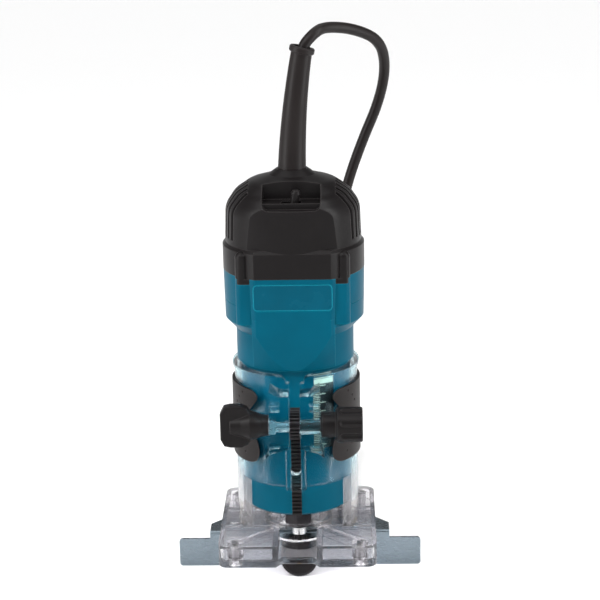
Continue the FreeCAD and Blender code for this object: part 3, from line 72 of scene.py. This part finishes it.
def make_stage():
    size = 8
    mesh = bpy.data.meshes.new("floor")
    corners = [(-size, -size, 0), (size, -size, 0), (size, size, 0), (-size, size, 0)]
    mesh.from_pydata(corners, [], [(0, 1, 2, 3)])
    floor = bpy.data.objects.new("floor", mesh)
    bpy.context.scene.collection.objects.link(floor)
    material = bpy.data.materials.new("floor_paper")
    material.use_nodes = True
    shader = material.node_tree.nodes["Principled BSDF"]
    shader.inputs["Base Color"].default_value = (0.93, 0.93, 0.93, 1)
    shader.inputs["Roughness"].default_value = 0.9
    shader.inputs["Specular IOR Level"].default_value = 0.1
    mesh.materials.append(material)


def area_light(name, place, target, width, height, watts):
    data = bpy.data.lights.new(name, "AREA")
    data.shape = "RECTANGLE"
    data.size = width
    data.size_y = height
    data.energy = watts
    light = bpy.data.objects.new(name, data)
    light.location = place
    light.rotation_euler = (Vector(target) - Vector(place)).to_track_quat("-Z", "Y").to_euler()
    bpy.context.scene.collection.objects.link(light)


def sun_light(name, place, strength, spread):
    data = bpy.data.lights.new(name, "SUN")
    data.energy = strength
    data.angle = math.radians(spread)
    light = bpy.data.objects.new(name, data)
    light.rotation_euler = (-Vector(place)).to_track_quat("-Z", "Y").to_euler()
    bpy.context.scene.collection.objects.link(light)


def make_world():
    """White walls round the stage, dimmer overhead."""
    world = bpy.data.worlds.new("studio")
    bpy.context.scene.world = world
    world.use_nodes = True
    tree = world.node_tree
    background = tree.nodes["Background"]
    background.inputs["Color"].default_value = (1, 1, 1, 1)
    coordinates = tree.nodes.new("ShaderNodeTexCoord")
    axes = tree.nodes.new("ShaderNodeSeparateXYZ")
    level = tree.nodes.new("ShaderNodeMapRange")
    for key, value in (("From Min", 0.15), ("From Max", 0.5), ("To Min", 0.62), ("To Max", 0.1)):
        level.inputs[key].default_value = value
    tree.links.new(coordinates.outputs["Generated"], axes.inputs[0])
    tree.links.new(axes.outputs["Z"], level.inputs["Value"])
    tree.links.new(level.outputs["Result"], background.inputs["Strength"])


def make_lights():
    middle = (0, 0, 0.15)
    sun_light("sun_left", (-0.6, -0.5, 1.0), 1.15, 30)
    sun_light("sun_right", (0.7, -0.4, 0.9), 0.9, 30)
    sun_light("sun_top", (0.0, 0.3, 1.0), 1.3, 60)
    area_light("left_box", (-0.75, -0.35, 0.4), middle, 0.16, 0.9, 7)
    area_light("right_box", (0.75, -0.25, 0.4), middle, 0.14, 0.9, 6)
    area_light("high_box", (-0.1, -0.45, 0.85), (0, 0, 0.2), 0.5, 0.25, 2.2)


make_stage()
make_world()
make_lights()
bpy.context.scene.view_settings.view_transform = "Standard"


# ---------------------------------------------------------------- material helpers

class Nodes:
    """A material's node tree, with one call for each node and its links."""

    def __init__(self, name):
        self.material = bpy.data.materials.new(name)
        self.material.use_nodes = True
        self.tree = self.material.node_tree
        self.shader = self.tree.nodes["Principled BSDF"]
        self.output = self.tree.nodes["Material Output"]

    def add(self, kind, outlet=0, settings=None, **inputs):
        """Add a node; inputs are values or outlets, and the outlet asked for comes back."""
        node = self.tree.nodes.new(kind)
        for key, value in (settings or {}).items():
            setattr(node, key, value)
        for key, value in inputs.items():
            self.set(node, key.replace("_", " "), value)
        return node.outputs[outlet]

    def set(self, node, key, value):
        self.feed(node.inputs[key], value)

    def feed(self, socket, value):
        """Link an outlet to a socket, or set the socket to a plain value."""
        if isinstance(value, bpy.types.NodeSocket):
            self.tree.links.new(value, socket)
        else:
            socket.default_value = value

    def surface(self, **inputs):
        for key, value in inputs.items():
            self.set(self.shader, key.replace("_", " "), value)
        return self.material

    def place(self):
        return self.add("ShaderNodeTexCoord", "Object")

    def noise(self, scale, detail=3.0, roughness=0.5, vector=None):
        return self.add(
            "ShaderNodeTexNoise",
            "Fac",
            Vector=vector or self.place(),
            Scale=scale,
            Detail=detail,
            Roughness=roughness,
        )

    def spread(self, fac, low, high, from_low=0.0, from_high=1.0):
        """A number in one range moved to another."""
        node = self.tree.nodes.new("ShaderNodeMapRange")
        ends = {"From Min": from_low, "From Max": from_high, "To Min": low, "To Max": high}
        for key, value in ends.items():
            node.inputs[key].default_value = value
        self.tree.links.new(fac, node.inputs["Value"])
        return node.outputs["Result"]

    def mix(self, fac, first, second):
        node = self.tree.nodes.new("ShaderNodeMix")
        node.data_type = "RGBA"
        for index, value in ((0, fac), (6, first), (7, second)):
            self.feed(node.inputs[index], value)
        return node.outputs[2]

    def maths(self, operation, first, second=0.0):
        node = self.tree.nodes.new("ShaderNodeMath")
        node.operation = operation
        for socket, value in zip(node.inputs, (first, second)):
            self.feed(socket, value)
        return node.outputs[0]

    def soft_edges(self, radius):
        return self.add("ShaderNodeBevel", "Normal", {"samples": 6}, Radius=radius)

    def bump(self, height, strength, distance, normal=None):
        inputs = {"Height": height, "Strength": strength, "Distance": distance}
        if normal is not None:
            inputs["Normal"] = normal
        return self.add("ShaderNodeBump", "Normal", **inputs)


def worn_and_highlit_edges(nodes, radius=0.0012):
    """Nearly 1 on sharp edges and 0 on flat ground: the mask for edge wear and painted edge highlights.
    """
    bevel = nodes.soft_edges(radius)
    geometry = nodes.tree.nodes.new("ShaderNodeNewGeometry")
    dot = nodes.tree.nodes.new("ShaderNodeVectorMath")
    dot.operation = "DOT_PRODUCT"
    nodes.tree.links.new(bevel, dot.inputs[0])
    nodes.tree.links.new(geometry.outputs["Normal"], dot.inputs[1])
    return nodes.spread(dot.outputs["Value"], 1.0, 0.0, 0.75, 0.99)


# ---------------------------------------------------------------- materials

def moulded_plastic(name, colour, edge_colour, roughness, grain=900.0, grain_depth=0.00004, edge=0.0005,
                    gloss=0.25):
    """Spark-textured moulded plastic with paler edges, partly polish wear and partly a painted
    highlight.
    """
    nodes = Nodes(name)
    cloud = nodes.noise(45.0, 4.0)
    darker = (*[c * 0.9 for c in colour], 1)
    paler = (*[min(1, c * 1.1) for c in colour], 1)
    shade = nodes.mix(nodes.spread(cloud, 0.0, 1.0, 0.3, 0.7), darker, paler)
    # Paler edges: partly wear, partly a painted edge highlight.
    worn_and_highlit = nodes.mix(worn_and_highlit_edges(nodes), shade, (*edge_colour, 1))
    fine = nodes.noise(grain, 2.0, 0.6)
    normal = nodes.bump(fine, 0.35, grain_depth, nodes.soft_edges(edge))
    return nodes.surface(
        Base_Color=worn_and_highlit,
        Roughness=nodes.spread(cloud, roughness - 0.05, roughness + 0.06, 0.3, 0.7),
        Specular_IOR_Level=gloss,
        Normal=normal,
    )


def teal_plastic():
    return moulded_plastic(
        "teal_plastic", (0.0, 0.064, 0.104), (0.0, 0.13, 0.19), 0.34, 1400.0, 0.00002, gloss=0.04
    )


def black_plastic():
    return moulded_plastic(
        "black_plastic", (0.0072, 0.0062, 0.0064), (0.03, 0.027, 0.027), 0.34, 1100.0, 0.00005, gloss=0.1
    )


def black_rubber(name, roughness):
    return moulded_plastic(
        name, (0.0085, 0.0062, 0.006), (0.03, 0.025, 0.025), roughness, 1500.0, 0.00006, gloss=0.16
    )


def label_plastic():
    # The pale edge colour is mostly a painted highlight round the panel's rim, with some wear.
    return moulded_plastic(
        "label", (0.0, 0.058, 0.095), (0.01, 0.26, 0.35), 0.25, 600.0, 0.00001, gloss=0.06
    )


# Heights where the painted teal light from the motor fades in.
PAINTED_TEAL_START = 0.062
PAINTED_TEAL_FULL = 0.074


def clear_plastic():
    """Polycarbonate: smoky at its edges, clear below the collar, and from the collar up painted with
    teal light from the motor behind, in its colour and reflection tint.
    """
    nodes = Nodes("clear_plastic")
    wave = nodes.noise(38.0, 2.0)
    scuffs = nodes.noise(260.0, 6.0, 0.7)
    normal = nodes.bump(wave, 0.15, 0.0003, nodes.soft_edges(0.0007))
    axes = nodes.tree.nodes.new("ShaderNodeSeparateXYZ")
    nodes.tree.links.new(nodes.place(), axes.inputs[0])
    # Painted light: teal from the motor behind, mixed into the colour and the reflection tint by height.
    collar = nodes.spread(axes.outputs["Z"], 0.0, 1.0, PAINTED_TEAL_START, PAINTED_TEAL_FULL)
    nodes.surface(
        Base_Color=nodes.mix(collar, (0.93, 0.922, 0.935, 1), (0.6, 0.9, 0.96, 1)),
        Roughness=nodes.spread(scuffs, 0.0, 0.03, 0.45, 0.75),
        IOR=1.5,
        Specular_Tint=nodes.mix(collar, (0.12, 0.12, 0.13, 1), (0.0, 0.12, 0.16, 1)),
        Transmission_Weight=1.0,
        Normal=normal,
    )
    clear = nodes.add("ShaderNodeBsdfTransparent", "BSDF", Color=(0.9, 0.895, 0.91, 1))
    path = nodes.tree.nodes.new("ShaderNodeLightPath")
    mixed = nodes.tree.nodes.new("ShaderNodeMixShader")
    share = nodes.maths("MAXIMUM", path.outputs["Is Shadow Ray"], 0.18)
    nodes.tree.links.new(share, mixed.inputs[0])
    nodes.tree.links.new(nodes.shader.outputs[0], mixed.inputs[1])
    nodes.tree.links.new(clear, mixed.inputs[2])
    nodes.tree.links.new(mixed.outputs[0], nodes.output.inputs["Surface"])
    return nodes.material


def metal(name, colour, roughness, streaks=(1.0, 1.0, 1.0), streak_scale=300.0, edge=0.0004):
    """Metal with fine directional marks and brighter edges, partly wear and partly a painted highlight.
    """
    nodes = Nodes(name)
    stretched = nodes.add("ShaderNodeMapping", "Vector", Vector=nodes.place(), Scale=streaks)
    marks = nodes.noise(streak_scale, 4.0, 0.6, stretched)
    cloud = nodes.noise(30.0, 4.0)
    darker = (*[c * 0.86 for c in colour], 1)
    shade = nodes.mix(nodes.spread(cloud, 0.0, 1.0, 0.3, 0.7), darker, (*colour, 1))
    # Brighter edges: partly wear, partly a painted edge highlight.
    bright = nodes.mix(worn_and_highlit_edges(nodes), shade, (*[min(1, c * 1.3) for c in colour], 1))
    return nodes.surface(
        Base_Color=bright,
        Metallic=1.0,
        Roughness=nodes.spread(marks, roughness - 0.08, roughness + 0.1, 0.3, 0.7),
        Normal=nodes.bump(marks, 0.12, 0.00003, nodes.soft_edges(edge)),
    )


FINE_STEP = 0.001
COARSE_STEP = 0.005
SHORT_MARK_END = 0.0135
LONG_MARK_END = 0.0165
PALE_BAND_FOOT = 0.1262


def scale_print():
    """A dark printed film with pale marks every millimetre and a pale band at the top."""
    nodes = Nodes("scale_print")
    axes = nodes.tree.nodes.new("ShaderNodeSeparateXYZ")
    nodes.tree.links.new(nodes.place(), axes.inputs[0])
    across, height = axes.outputs["X"], axes.outputs["Z"]
    fine_steps = nodes.maths("MULTIPLY", height, 1 / FINE_STEP)
    fine = nodes.maths("LESS_THAN", nodes.maths("FRACT", fine_steps), 0.3)
    coarse_steps = nodes.maths("MULTIPLY", height, 1 / COARSE_STEP)
    coarse = nodes.maths("LESS_THAN", nodes.maths("FRACT", coarse_steps), 0.08)
    short = nodes.maths("LESS_THAN", across, SHORT_MARK_END)
    long = nodes.maths("LESS_THAN", across, LONG_MARK_END)
    short_marks = nodes.maths("MULTIPLY", fine, short)
    long_marks = nodes.maths("MULTIPLY", coarse, long)
    marks = nodes.maths("MAXIMUM", short_marks, long_marks)
    band = nodes.maths("GREATER_THAN", height, PALE_BAND_FOOT)
    pale = nodes.maths("MAXIMUM", marks, band)
    wear = nodes.spread(nodes.noise(300.0, 4.0), 0.75, 1.0, 0.3, 0.6)
    printed = nodes.maths("MULTIPLY", pale, wear)
    return nodes.surface(
        Base_Color=nodes.mix(printed, (0.012, 0.012, 0.013, 1), (0.66, 0.62, 0.5, 1)),
        Roughness=nodes.spread(wear, 0.3, 0.45),
        Specular_IOR_Level=0.3,
    )


MATERIALS = {
    "clear_plastic": clear_plastic(),
    "teal_plastic": teal_plastic(),
    "black_plastic": black_plastic(),
    "black_rubber": black_rubber("black_rubber", 0.46),
    "label": label_plastic(),
    "zinc_steel": metal("zinc_steel", (0.185, 0.225, 0.255), 0.28, (1, 1, 6), 220.0),
    "bright_steel": metal("bright_steel", (0.60, 0.60, 0.60), 0.28, (1, 1, 8), 400.0),
    "black_steel": metal("black_steel", (0.035, 0.033, 0.035), 0.35, (1, 1, 4), 300.0),
    "lamination": metal("lamination", (0.28, 0.27, 0.27), 0.45, (0.2, 0.2, 12), 500.0),
    "copper": metal("copper", (0.62, 0.27, 0.13), 0.3, (0.4, 0.4, 10), 500.0),
    "brass": metal("brass", (0.72, 0.52, 0.22), 0.3, (1, 1, 6), 400.0),
    "carbon": moulded_plastic("carbon", (0.02, 0.02, 0.02), (0.04, 0.04, 0.04), 0.7),
    "cord_rubber": black_rubber("cord_rubber", 0.42),
    "scale_print": scale_print(),
}

for entry in frame["record"]["subparts"]:
    mesh = frame["nodes"][entry["node"]].data
    mesh.materials.clear()
    mesh.materials.append(MATERIALS[entry["material_slot"]])


# ---------------------------------------------------------------- cord

CORD_DIAMETER = 0.0062
CORD_START = [
    (0.00511, 0.0, 0.29874),
    (0.0058, 0.0003, 0.3089),
    (0.0136, 0.0035, 0.3175),
    (0.0199, 0.011, 0.3198),
    (0.0355, 0.022, 0.3172),
    (0.0503, 0.0345, 0.3092),
    (0.054, 0.049, 0.292),
    (0.050, 0.060, 0.270),
    (0.040, 0.066, 0.246),
    (0.030, 0.066, 0.218),
    (0.024, 0.063, 0.186),
    (0.0225, 0.0605, 0.148),
    (0.024, 0.060, 0.108),
    (0.0252, 0.061, 0.070),
    (0.0255, 0.0645, 0.036),
    (0.0251, 0.074, 0.0135),
    (0.0249, 0.090, 0.0033),
    (0.0249, 0.104, 0.0031),
]
CORD_END = [
    (-0.0249, 0.150, 0.02795),
    (-0.0249, 0.1242, 0.0284),
    (-0.0062, 0.1134, 0.0296),
    (0.0125, 0.1242, 0.0322),
    (0.0125, 0.140, 0.0344),
]
HANK_FRONT = 0.122
HANK_BACK = 0.178
OUTER_LANE = 0.0249
INNER_LANE = 0.0187
TURN_LANES = 2 * [OUTER_LANE, INNER_LANE, INNER_LANE, OUTER_LANE]
RUN_INSET = 0.014
RETURN_INSET = 0.012
ARC_STEPS = 6
ARC_PULL = 0.75 + 0.25 * math.cos(math.pi / ARC_STEPS)


def hank_points():
    """Seven and a half turns round two folds, two lanes wide and four layers high."""
    points = []
    for turn, lane in enumerate(TURN_LANES):
        last = turn == len(TURN_LANES) - 1
        height = CORD_DIAMETER * (0.5 + turn // 2)
        next_lane = lane if last else TURN_LANES[turn + 1]
        next_height = height if last else CORD_DIAMETER * (0.5 + (turn + 1) // 2)
        points.append((lane, HANK_FRONT + RUN_INSET, height))
        points.append((lane, HANK_BACK - RUN_INSET, height))
        for step in range(ARC_STEPS):
            angle = math.pi * (step + 0.5) / ARC_STEPS
            reach = lane / ARC_PULL
            points.append((reach * math.cos(angle), HANK_BACK + reach * math.sin(angle), height))
        points.append((-lane, HANK_BACK - RETURN_INSET, height))
        if last:
            break
        points.append((-lane, HANK_FRONT + RUN_INSET, height))
        for step in range(ARC_STEPS):
            share = (step + 0.5) / ARC_STEPS
            angle = math.pi * (1 + share)
            middle = lane + (next_lane - lane) * share
            reach = middle / ARC_PULL
            level = height + (next_height - height) * share
            points.append((reach * math.cos(angle), HANK_FRONT + reach * math.sin(angle), level))
    return points


def spline_object(name, points, bevel):
    curve = bpy.data.curves.new(name, "CURVE")
    curve.dimensions = "3D"
    curve.resolution_u = 8
    curve.bevel_depth = bevel
    curve.bevel_resolution = 5
    curve.use_fill_caps = bevel > 0
    spline = curve.splines.new("NURBS")
    spline.points.add(len(points) - 1)
    for place, point in zip(points, spline.points):
        point.co = (*place, 1)
    spline.order_u = 3
    spline.use_endpoint_u = True
    item = bpy.data.objects.new(name, curve)
    bpy.context.scene.collection.objects.link(item)
    return item


def as_mesh(item):
    bpy.context.view_layer.update()
    graph = bpy.context.evaluated_depsgraph_get()
    mesh = bpy.data.meshes.new_from_object(item.evaluated_get(graph))
    bpy.data.objects.remove(item)
    return mesh


def make_cord():
    route = CORD_START + hank_points() + CORD_END
    line = as_mesh(spline_object("cord_line", route, 0.0))
    mesh = as_mesh(spline_object("cord_form", route, CORD_DIAMETER / 2))
    for face in mesh.polygons:
        face.use_smooth = True
    cord = bpy.data.objects.new("cord", mesh)
    bpy.context.scene.collection.objects.link(cord)
    mesh.materials.clear()
    mesh.materials.append(MATERIALS["cord_rubber"])
    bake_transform(cord)
    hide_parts("cord_tube", "cord_hank", "cord_tail")


make_cord()
